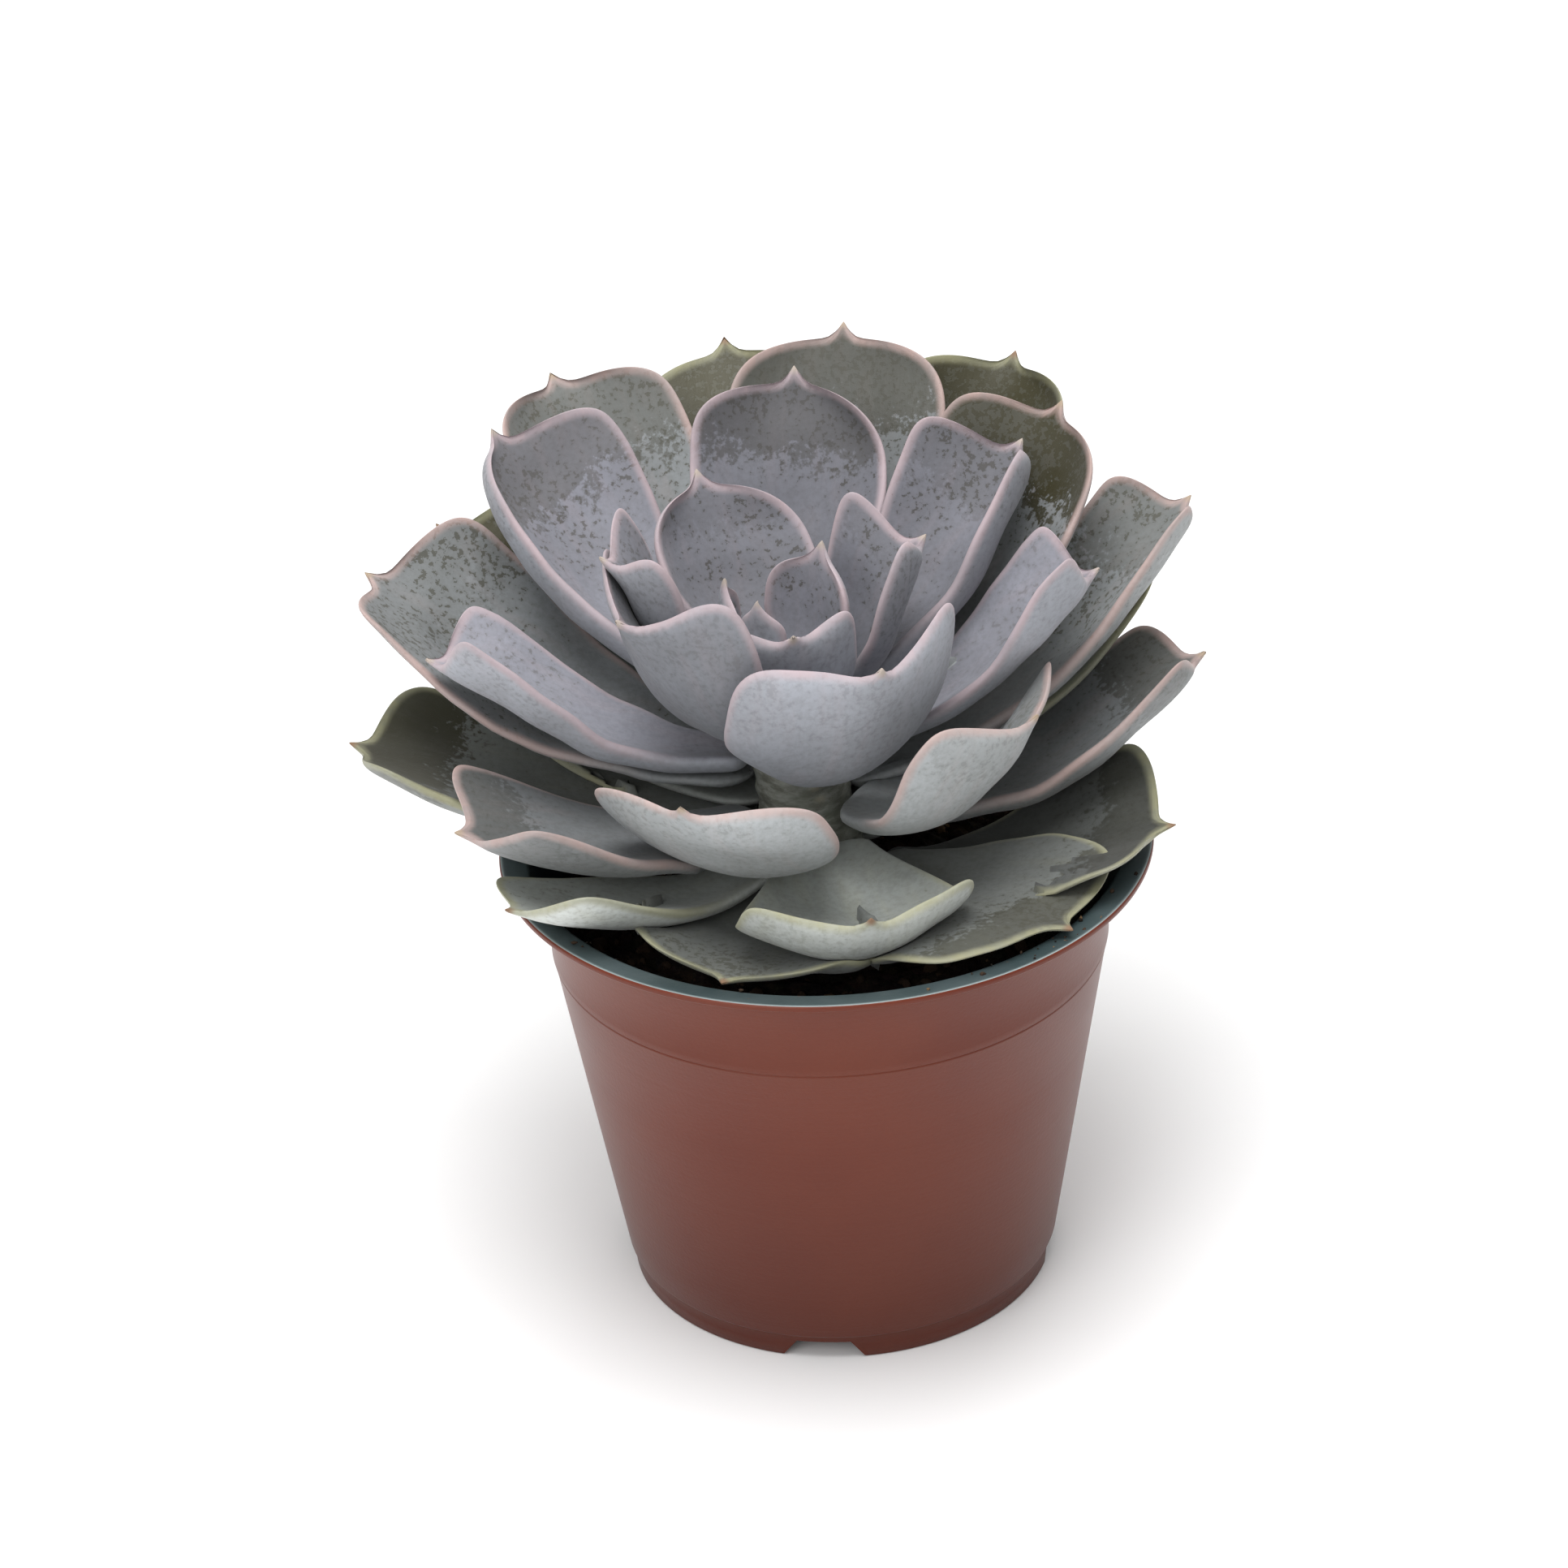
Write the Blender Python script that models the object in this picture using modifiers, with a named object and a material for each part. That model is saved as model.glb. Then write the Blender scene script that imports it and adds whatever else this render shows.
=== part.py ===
"""Potted succulent: a rosette of thick, pointed leaves on a short stem, in a plastic nursery pot.

Metres, +Z up, the front of the rosette towards -Y. The pot stands on z = 0 and the origin is
the centre of the whole plant's footprint, so the pot's own axis is a little in front of it.
Run with: blender --background --python part.py
"""
import math
from collections import namedtuple

import bmesh
import bpy
from mathutils import Vector
from mathutils.bvhtree import BVHTree

MM = 0.001
GAP = 0.3 * MM                     # air between pieces that touch

# The pot: a standard 12 cm nursery pot, moulded in one piece.
POT_AXIS = Vector((8 * MM, -18.5 * MM, 0))
RIM_RADIUS = 60 * MM
POT_HEIGHT = 88.7 * MM
LIP_WIDTH = 5.5 * MM
WALL = 1.2 * MM
SEAM_RADIUS = 51.3 * MM            # where the straight wall meets the flared collar
SEAM_HEIGHT = 68.5 * MM
STEP_RADIUS = 40.9 * MM            # the wall's lower edge, just proud of the foot ring
STEP_HEIGHT = 5.2 * MM
FOOT_RADIUS = 39.8 * MM
FOOT_WALL = 1.6 * MM
POT_STEPS = 48

NOTCHES = 4                        # water gaps in the foot ring
FIRST_NOTCH = 263                  # degrees
NOTCH_WIDTH = 17 * MM
NOTCH_TOP_WIDTH = 10 * MM
NOTCH_HEIGHT = 3.6 * MM
DRAIN_RADIUS = 4.5 * MM
DRAIN_CIRCLE = 30 * MM

# The soil and the stem.
SOIL_TOP = 74 * MM
SOIL_MOUND = 1.5 * MM
STEM_RADIUS = 9 * MM
STEM_FOOT = Vector((0, 0, SOIL_TOP + SOIL_MOUND + GAP))
STEM_TOP = Vector((-8 * MM, 7 * MM, 122 * MM))

# What every leaf shares.
LEAF_RINGS = 10
LEAF_SEGMENTS = 10
HANDLE = 0.38                      # length of the midrib's Bezier handles, as a part of its chord
BASE_WIDTH = 0.30                  # width where the leaf leaves the stem, as a part of the widest
POINT_LENGTH = 3.5 * MM
ROOT_LENGTH = 0.06                 # part of the leaf that narrows into its root

# One row a leaf, from the lowest to the innermost. Degrees for azimuth (from +X, anticlockwise),
# for the midrib's elevation where it leaves and where it ends, and for how far each half of the
# blade is cupped; millimetres for the rest, except that rounding is the length of the rounded end
# as a part of the width. lip_* is how far the margin rises beside the point.
Leaf = namedtuple("Leaf", "azimuth height reach rise leaves_at ends_at width rounding"
                          " cup_left cup_right lip_left lip_right thickness colour")
OLD, OUTER, INNER = "old_leaf", "outer_leaf", "inner_leaf"
LEAVES = (
    Leaf(350, 80.0, 65, 13.5, -12, 20, 46, 0.25, 20, 20, 3, 2, 3.5, OLD),
    Leaf(249, 80.5, 53, 7, -11, 15, 46, 0.50, 20, 20, 1, 1, 3.5, OLD),
    Leaf(62, 82.5, 70, 17, -2, 25, 38, 0.50, 30, 30, 2, 2, 4.0, OLD),
    Leaf(316, 84.5, 61, 6, -12, 3, 52, 0.45, 12, 8, 0, 0, 3.5, OLD),
    Leaf(109, 80.5, 74, 21, 4, 25, 36, 0.50, 30, 30, 2, 2, 4.0, OLD),
    Leaf(214, 86.5, 67, 10.5, -15, 26, 28, 0.30, 40, 15, 3, 0, 4.0, OLD),
    Leaf(140, 83.0, 70, 17, -2, 20, 32, 0.50, 20, 20, 0, 0, 4.0, OLD),
    Leaf(280, 90.5, 54, 10, -15, 65, 44, 0.45, 30, 25, 4, 6, 4.0, OLD),
    Leaf(171, 87.5, 86, 17, 0, 25, 42, 0.30, 30, 18, 4, 2, 4.5, OLD),
    Leaf(84, 89.0, 78, 26, -5, 35, 40, 0.50, 30, 30, 2, 2, 4.0, OLD),
    Leaf(40, 90.5, 83, 33, 0, 40, 38, 0.45, 30, 30, 0, 0, 4.0, OLD),
    Leaf(202, 93.0, 68, 13, -8, 25, 38, 0.20, 30, 10, 4, 3, 4.5, OUTER),
    Leaf(13, 91.0, 76, 22, -14, 40, 34, 0.25, 18, 45, 1, 5, 4.5, OUTER),
    Leaf(138, 92.0, 92, 33, -8, 45, 40, 0.45, 30, 30, 0, 5, 4.0, OLD),
    Leaf(97, 93.5, 95, 53, 2, 52, 42, 0.50, 12, 35, -2, 0, 4.0, OLD),
    Leaf(60, 95.0, 89, 53, 5, 50, 42, 0.50, 35, 55, 2, 0, 4.0, OLD),
    Leaf(242, 95.0, 47, 23, -18, 60, 46, 0.35, 30, 15, 3, 1, 4.5, OUTER),
    Leaf(26, 96.0, 83, 39, 0, 45, 33, 0.30, 30, 50, 2, 6, 4.5, OUTER),
    Leaf(333, 96.5, 47, 25, -18, 60, 48, 0.40, 12, 40, 5, 8, 4.5, OUTER),
    Leaf(118, 98.0, 95, 47, 14, 48, 42, 0.45, 50, 50, 0, 2, 4.5, OUTER),
    Leaf(158, 99.5, 85, 30, -5, 40, 46, 0.35, 22, 35, 5, 4, 4.5, OUTER),
    Leaf(81, 101.0, 83, 52, 15, 52, 44, 0.50, 30, 30, 0, 0, 4.5, OUTER),
    Leaf(43, 101.5, 72, 48, 8, 60, 42, 0.45, 30, 42, 4, 0, 4.5, OUTER),
    Leaf(178, 103.0, 66, 23, -5, 30, 31, 0.18, 50, 35, 7, 2, 4.5, INNER),
    Leaf(135, 105.0, 76, 42, 15, 60, 42, 0.45, 80, 35, 0, 5, 4.5, INNER),
    Leaf(9, 105.5, 58, 28, 0, 40, 31, 0.18, 35, 50, 3, 8, 4.5, INNER),
    Leaf(298, 107.0, 35, 29, -15, 60, 50, 0.35, 40, 45, 7, 4, 5.0, INNER),
    Leaf(42, 109.0, 62, 36, 10, 50, 36, 0.40, 60, 85, 6, 7, 4.5, INNER),
    Leaf(86, 110.0, 64, 42, 15, 65, 42, 0.50, 40, 60, 2, -4, 4.5, INNER),
    Leaf(212, 111.0, 35, 30, 5, 45, 44, 0.30, 45, 35, 8, 6, 4.5, INNER),
    Leaf(188, 113.0, 32, 34, 20, 50, 28, 0.30, 50, 20, 6, 6, 4.0, INNER),
    Leaf(29, 113.0, 31, 26, 10, 50, 30, 0.35, 35, 80, 8, 8, 4.0, INNER),
    Leaf(112, 115.0, 37, 30, 25, 65, 36, 0.55, 70, 40, 0, -2, 4.0, INNER),
    Leaf(277, 115.0, 21, 22, 0, 60, 28, 0.40, 50, 50, 5, 3, 3.5, INNER),
    Leaf(48, 116.0, 13, 25, 40, 85, 22, 0.55, 50, 50, 0, 0, 3.5, INNER),
    Leaf(179, 117.0, 9, 22, 50, 90, 14, 0.60, 50, 50, 0, 0, 3.0, INNER),
    Leaf(241, 118.0, 6, 19, 60, 90, 10, 0.60, 40, 40, 0, 0, 2.5, INNER),
)

# Principled BSDF settings: colour, roughness.
FINISHES = {
    "pot_plastic": ((0.35, 0.14, 0.09), 0.45),
    "soil": ((0.03, 0.022, 0.017), 0.95),
    "stem": ((0.20, 0.17, 0.11), 0.80),
    OLD: ((0.30, 0.31, 0.27), 0.60),
    OUTER: ((0.38, 0.40, 0.38), 0.60),
    INNER: ((0.42, 0.42, 0.46), 0.60),
}


# ---------------------------------------------------------------- scene helpers

def clear_scene():
    for obj in list(bpy.data.objects):
        bpy.data.objects.remove(obj, do_unlink=True)


def new_collection(name):
    collection = bpy.data.collections.new(name)
    bpy.context.scene.collection.children.link(collection)
    return collection


def make_finishes():
    """One Principled BSDF material for each entry of FINISHES."""
    materials = {}
    for name, (colour, roughness) in FINISHES.items():
        material = bpy.data.materials.new(name)
        material.use_nodes = True
        shader = material.node_tree.nodes["Principled BSDF"]
        shader.inputs["Base Color"].default_value = (*colour, 1.0)
        shader.inputs["Roughness"].default_value = roughness
        shader.inputs["Metallic"].default_value = 0.0
        materials[name] = material
    return materials


def add_object(name, bm, collection, material=None):
    """Turn a bmesh into a smooth-shaded object that stands on the pot's axis."""
    mesh = bpy.data.meshes.new(name)
    bm.to_mesh(mesh)
    bm.free()
    mesh.shade_smooth()
    if material:
        mesh.materials.append(material)
    obj = bpy.data.objects.new(name, mesh)
    obj.location = POT_AXIS
    collection.objects.link(obj)
    return obj


def turned(name, profile, collection, material):
    """A body of revolution about the pot's axis, from (radius, height) points."""
    bm = bmesh.new()
    verts = [bm.verts.new((radius, 0, height)) for radius, height in profile]
    for start, end in zip(verts, verts[1:]):
        bm.edges.new((start, end))
    obj = add_object(name, bm, collection, material)
    screw = obj.modifiers.new("turn", "SCREW")
    screw.steps = POT_STEPS
    screw.render_steps = POT_STEPS
    screw.use_merge_vertices = True
    screw.merge_threshold = 0.00001
    obj.data.set_sharp_from_angle(angle=math.radians(40))
    return obj


def cut(obj, cutter, solver="EXACT"):
    boolean = obj.modifiers.new("cut by " + cutter.name, "BOOLEAN")
    boolean.operation = "DIFFERENCE"
    boolean.solver = solver
    boolean.object = cutter


def mark_as_cutter(obj):
    obj.hide_render = True
    obj.display_type = "WIRE"


# ---------------------------------------------------------------- pot and soil

def wall_radius(height):
    """Outside radius of the straight wall between the step and the seam."""
    part = (height - STEP_HEIGHT) / (SEAM_HEIGHT - STEP_HEIGHT)
    return STEP_RADIUS + part * (SEAM_RADIUS - STEP_RADIUS)


def collar_profile(inset, points=4):
    """The flared collar from the seam up to the lip: a quarter wave that steepens outwards."""
    foot = SEAM_HEIGHT + 0.8 * MM
    top = POT_HEIGHT - 2.7 * MM
    bottom_radius = SEAM_RADIUS + 0.3 * MM
    top_radius = RIM_RADIUS - LIP_WIDTH + 0.9 * MM
    outline = []
    for i in range(points + 1):
        part = i / points
        flare = 1 - math.cos(part * math.pi / 2)
        radius = bottom_radius + flare * (top_radius - bottom_radius)
        outline.append((radius - inset, foot + part * (top - foot)))
    return outline


def make_pot(collection, cutters, material):
    floor_top = STEP_HEIGHT
    floor_under = STEP_HEIGHT - WALL
    foot_inner = FOOT_RADIUS - FOOT_WALL
    inside = [(0, floor_top), (wall_radius(floor_top) - WALL, floor_top)]
    inside.append((SEAM_RADIUS - WALL, SEAM_HEIGHT))
    inside += collar_profile(WALL)[1:]
    lip = [
        (RIM_RADIUS - LIP_WIDTH, POT_HEIGHT - 0.7 * MM),
        (RIM_RADIUS - 0.5 * MM, POT_HEIGHT),
        (RIM_RADIUS, POT_HEIGHT - 0.4 * MM),
        (RIM_RADIUS, POT_HEIGHT - 1.2 * MM),
    ]
    outside = collar_profile(0)[::-1]
    outside.append((SEAM_RADIUS, SEAM_HEIGHT))
    outside.append((STEP_RADIUS, STEP_HEIGHT))
    foot = [
        (FOOT_RADIUS + 0.3 * MM, STEP_HEIGHT - 0.3 * MM),
        (FOOT_RADIUS, 0),
        (foot_inner, 0),
        (foot_inner, floor_under),
        (0, floor_under),
    ]
    pot = turned("pot", inside + lip + outside + foot, collection, material)
    for i in range(NOTCHES):
        azimuth = math.radians(FIRST_NOTCH + i * 360 / NOTCHES)
        cut(pot, make_notch(i, azimuth, cutters))
        cut(pot, make_drain(i, azimuth, cutters))
    return pot


def make_notch(index, azimuth, cutters):
    """A wedge that opens the foot ring, wider at the bottom than at the top."""
    bm = bmesh.new()
    bmesh.ops.create_cube(bm, size=1.0)
    for vert in bm.verts:
        width = NOTCH_WIDTH if vert.co.z < 0 else NOTCH_TOP_WIDTH
        vert.co.x *= 8 * MM
        vert.co.y *= width
        vert.co.z = NOTCH_HEIGHT if vert.co.z > 0 else -MM
    notch = add_object(f"notch_{index + 1}", bm, cutters)
    notch.rotation_euler.z = azimuth
    notch.location += FOOT_RADIUS * Vector((math.cos(azimuth), math.sin(azimuth), 0))
    mark_as_cutter(notch)
    return notch


def make_drain(index, azimuth, cutters):
    bm = bmesh.new()
    bmesh.ops.create_cone(bm, cap_ends=True, segments=14, radius1=DRAIN_RADIUS,
                          radius2=DRAIN_RADIUS, depth=4 * WALL)
    drain = add_object(f"drain_{index + 1}", bm, cutters)
    drain.location += DRAIN_CIRCLE * Vector((math.cos(azimuth), math.sin(azimuth), 0))
    drain.location.z = STEP_HEIGHT - WALL / 2
    mark_as_cutter(drain)
    return drain


def make_soil(collection, material):
    clearance = WALL + GAP
    profile = [(0, SOIL_TOP + SOIL_MOUND), (0.4 * SEAM_RADIUS, SOIL_TOP + SOIL_MOUND)]
    collar_foot = SEAM_HEIGHT + 0.8 * MM
    profile.append((SEAM_RADIUS - clearance, SOIL_TOP))
    profile.append((SEAM_RADIUS - clearance, collar_foot))
    profile.append((SEAM_RADIUS - clearance - 0.1 * MM, SEAM_HEIGHT))
    profile.append((wall_radius(STEP_HEIGHT) - clearance - 0.2 * MM, STEP_HEIGHT + GAP))
    profile.append((0, STEP_HEIGHT + GAP))
    return turned("soil", profile, collection, material)


# ---------------------------------------------------------------- stem and leaves

def stem_point(height):
    """The stem's centre line at a height; it leans back and to the left."""
    part = (height - STEM_FOOT.z) / (STEM_TOP.z - STEM_FOOT.z)
    return STEM_FOOT.lerp(STEM_TOP, part)


def stem_radius(height):
    """Nearly constant at the foot, rounding off to a dome at the growing point."""
    part = (height - STEM_FOOT.z) / (STEM_TOP.z - STEM_FOOT.z)
    part = min(max(part, 0), 1)
    return STEM_RADIUS * math.sqrt(1 - part ** 3)


def make_stem(collection, material):
    rings, segments = 10, 16
    bm = bmesh.new()
    bmesh.ops.create_uvsphere(bm, u_segments=segments, v_segments=rings, radius=1.0)
    for vert in bm.verts:
        part = (1 + vert.co.z) / 2
        height = STEM_FOOT.z + part * (STEM_TOP.z - STEM_FOOT.z)
        across = Vector((vert.co.x, vert.co.y, 0))
        radius = stem_radius(height) if 0 < part < 1 else 0
        direction = across.normalized() if across.length > 0 else across
        vert.co = stem_point(height) + radius * direction
    return add_object("stem", bm, collection, material)


def blade_width(leaf, along):
    """Half-width of the blade at a part of its length, as a part of its widest half-width."""
    length = 1.08 * math.hypot(leaf.reach - 6, leaf.rise)
    rounded = min(leaf.rounding * leaf.width / length, 0.5)
    widest = 1 - rounded
    growth = math.sin(min(along / widest, 1) * math.pi / 2) ** 1.5
    tip = max((along - widest) / rounded, 0)
    end = max(1 - tip ** 3.5, 0) ** 0.42
    return (BASE_WIDTH + (1 - BASE_WIDTH) * growth) * root_taper(along) * end


def blade_thickness(along):
    swell = 0.75 + 0.25 * math.sin(math.pi * along)
    return swell * root_taper(along) * math.sqrt(max(1 - along ** 7, 0))


def root_taper(along):
    short = 1 - min(along / ROOT_LENGTH, 1)
    return math.sqrt(1 - short ** 2)


def midrib(leaf, along):
    """Point, tangent, leftward and upward directions on the leaf's midrib, a cubic Bezier curve
    in the upright plane at the leaf's azimuth."""
    azimuth = math.radians(leaf.azimuth)
    outward = Vector((math.cos(azimuth), math.sin(azimuth), 0))
    up = Vector((0, 0, 1))
    height = leaf.height * MM
    start_angle = math.radians(leaf.leaves_at)
    end_angle = math.radians(leaf.ends_at)
    end_direction = Vector((math.cos(end_angle), math.sin(end_angle)))
    start = Vector((stem_radius(height - 2 * MM) + GAP + 0.1 * MM, 0))
    end = Vector((leaf.reach * MM, leaf.rise * MM)) - POINT_LENGTH * end_direction
    handle = HANDLE * (end - start).length
    after_start = start + handle * Vector((math.cos(start_angle), math.sin(start_angle)))
    before_end = end - handle * end_direction
    left = 1 - along
    point = (left ** 3 * start + 3 * left ** 2 * along * after_start
             + 3 * left * along ** 2 * before_end + along ** 3 * end)
    slope = (left ** 2 * (after_start - start) + 2 * left * along * (before_end - after_start)
             + along ** 2 * (end - before_end)).normalized()
    tangent = slope.x * outward + slope.y * up
    leftward = up.cross(outward)
    centre = stem_point(height) + point.x * outward + point.y * up
    return centre, tangent, leftward, tangent.cross(leftward)


def leaf_point(leaf, along, turn):
    """A point of the leaf's skin: along runs from root to tip, turn goes round the section."""
    centre, tangent, leftward, upward = midrib(leaf, along)
    if along >= 1:
        return centre + POINT_LENGTH * tangent
    across = math.cos(turn)
    is_left = across > 0
    cup = math.radians(leaf.cup_left if is_left else leaf.cup_right)
    lip = (leaf.lip_left if is_left else leaf.lip_right) * MM
    half = leaf.width / 2 * MM * blade_width(leaf, along)
    bend = cup * abs(across)
    sideways = math.copysign(half * math.sin(bend) / cup, across)
    raised = half * (1 - math.cos(bend)) / cup
    skin = leaf.thickness / 2 * MM * blade_thickness(along)
    skin *= math.copysign(abs(math.sin(turn)) ** 0.8, math.sin(turn))
    sideways -= math.copysign(math.sin(bend), across) * skin
    raised += math.cos(bend) * skin
    near_tip = min(max((along - 0.45) / 0.5, 0), 1)
    near_tip = near_tip ** 2 * (3 - 2 * near_tip)
    outer_part = half * math.sin(bend) / cup / (0.4 * leaf.width * MM)
    lift = lip * near_tip * outer_part ** 1.6
    return centre + sideways * leftward + raised * upward + Vector((0, 0, lift))


def leaf_skin(leaf):
    """A sphere whose poles become the root and the tip of the leaf."""
    bm = bmesh.new()
    bmesh.ops.create_uvsphere(bm, u_segments=LEAF_SEGMENTS, v_segments=LEAF_RINGS, radius=1.0)
    for vert in bm.verts:
        along = (1 + vert.co.z) / 2
        turn = math.atan2(vert.co.y, vert.co.x)
        vert.co = leaf_point(leaf, along, turn)
    return bm


def make_presser(leaf_object, cutters):
    """A copy of a leaf, grown by the gap, that dents the older leaves that it presses on."""
    presser = bpy.data.objects.new(leaf_object.name + "_presser", leaf_object.data)
    presser.location = leaf_object.location
    grow = presser.modifiers.new("grow", "DISPLACE")
    grow.direction = "NORMAL"
    grow.mid_level = 0
    grow.strength = 1.2 * GAP
    cutters.objects.link(presser)
    mark_as_cutter(presser)
    return presser


def surface_tree(obj, grown_by):
    """A search tree over an object's mesh, moved outwards along its normals."""
    points = [vert.co + grown_by * vert.normal for vert in obj.data.vertices]
    faces = [tuple(face.vertices) for face in obj.data.polygons]
    return BVHTree.FromPolygons(points, faces)


def make_leaves(collection, cutters, materials):
    leaves = []
    for number, leaf in enumerate(LEAVES, start=1):
        name = f"leaf_{number:02d}"
        leaves.append(add_object(name, leaf_skin(leaf), collection, materials[leaf.colour]))
    skins = [surface_tree(leaf, 0) for leaf in leaves]
    grown = [surface_tree(leaf, 1.5 * GAP) for leaf in leaves]
    pressers = {}
    for older in range(len(leaves)):
        for younger in range(older + 1, len(leaves)):
            if not skins[older].overlap(grown[younger]):
                continue
            if younger not in pressers:
                pressers[younger] = make_presser(leaves[younger], cutters)
            cut(leaves[older], pressers[younger])
    return leaves


def main():
    clear_scene()
    collection = new_collection("potted_succulent")
    cutters = new_collection("cutters")
    materials = make_finishes()
    make_pot(collection, cutters, materials["pot_plastic"])
    make_soil(collection, materials["soil"])
    make_stem(collection, materials["stem"])
    make_leaves(collection, cutters, materials)


main()
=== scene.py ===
"""Looks for the potted succulent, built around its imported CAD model.

Every leaf, the pot, the soil and the stem are rebuilt finely where the CAD has them, in metres,
+Z up, with the front of the rosette towards -Y. Only procedural materials are used.
"""

import math
from collections import namedtuple

import bmesh
import bpy
import numpy as np
from mathutils import Matrix, Vector
from mathutils.bvhtree import BVHTree
from mathutils.kdtree import KDTree


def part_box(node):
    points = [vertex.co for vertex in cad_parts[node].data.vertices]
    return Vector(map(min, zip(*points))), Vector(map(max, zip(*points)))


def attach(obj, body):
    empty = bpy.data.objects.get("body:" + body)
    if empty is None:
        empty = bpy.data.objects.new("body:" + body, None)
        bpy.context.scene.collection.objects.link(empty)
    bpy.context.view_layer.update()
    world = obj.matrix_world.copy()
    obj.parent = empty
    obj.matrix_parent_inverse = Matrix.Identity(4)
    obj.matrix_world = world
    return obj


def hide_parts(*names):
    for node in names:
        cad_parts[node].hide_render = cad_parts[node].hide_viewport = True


MM = 0.001
GAP = 0.3 * MM

# The pot's dimensions, as the CAD has them.
LIP_WIDTH = 5.5 * MM
WALL = 1.2 * MM
SEAM_RADIUS = 51.3 * MM
SEAM_HEIGHT = 68.5 * MM
STEP_RADIUS = 40.9 * MM
STEP_HEIGHT = 5.2 * MM
FOOT_RADIUS = 39.8 * MM
FOOT_WALL = 1.6 * MM
POT_STEPS = 192
NOTCHES = 4
FIRST_NOTCH = 263                  # degrees
NOTCH_WIDTH = 17 * MM
NOTCH_TOP_WIDTH = 10 * MM
NOTCH_HEIGHT = 3.6 * MM
DRAIN_RADIUS = 4.5 * MM
DRAIN_CIRCLE = 30 * MM

SOIL_TOP = 74 * MM
SOIL_MOUND = 1.5 * MM
SOIL_SEGMENTS = 160
SOIL_WAVES = ((21, 0.5), (12, 0.4), (7, 0.35), (4.3, 0.3), (2.6, 0.22))  # length, height in mm
CRUMBS = 900
LIP_CRUMBS = 26

STEM_RADIUS = 9 * MM
STEM_FOOT = Vector((0, 0, SOIL_TOP + SOIL_MOUND + GAP))
STEM_TOP = Vector((-8 * MM, 7 * MM, 122 * MM))

# What every leaf shares.
LEAF_SEGMENTS = 60
HANDLE = 0.38
BASE_WIDTH = 0.38                  # a little more than the CAD's, to hide more of the stem
STEM_SHARE = 6                     # millimetres of the reach that the stem takes up
POINT_LENGTH = 3.5 * MM
POINT_REACH = 6.0 * MM             # the stretch of blade that draws out into the point
POINT_HALF_WIDTH = 1.6 * MM
ROOT_LENGTH = 0.06

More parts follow.
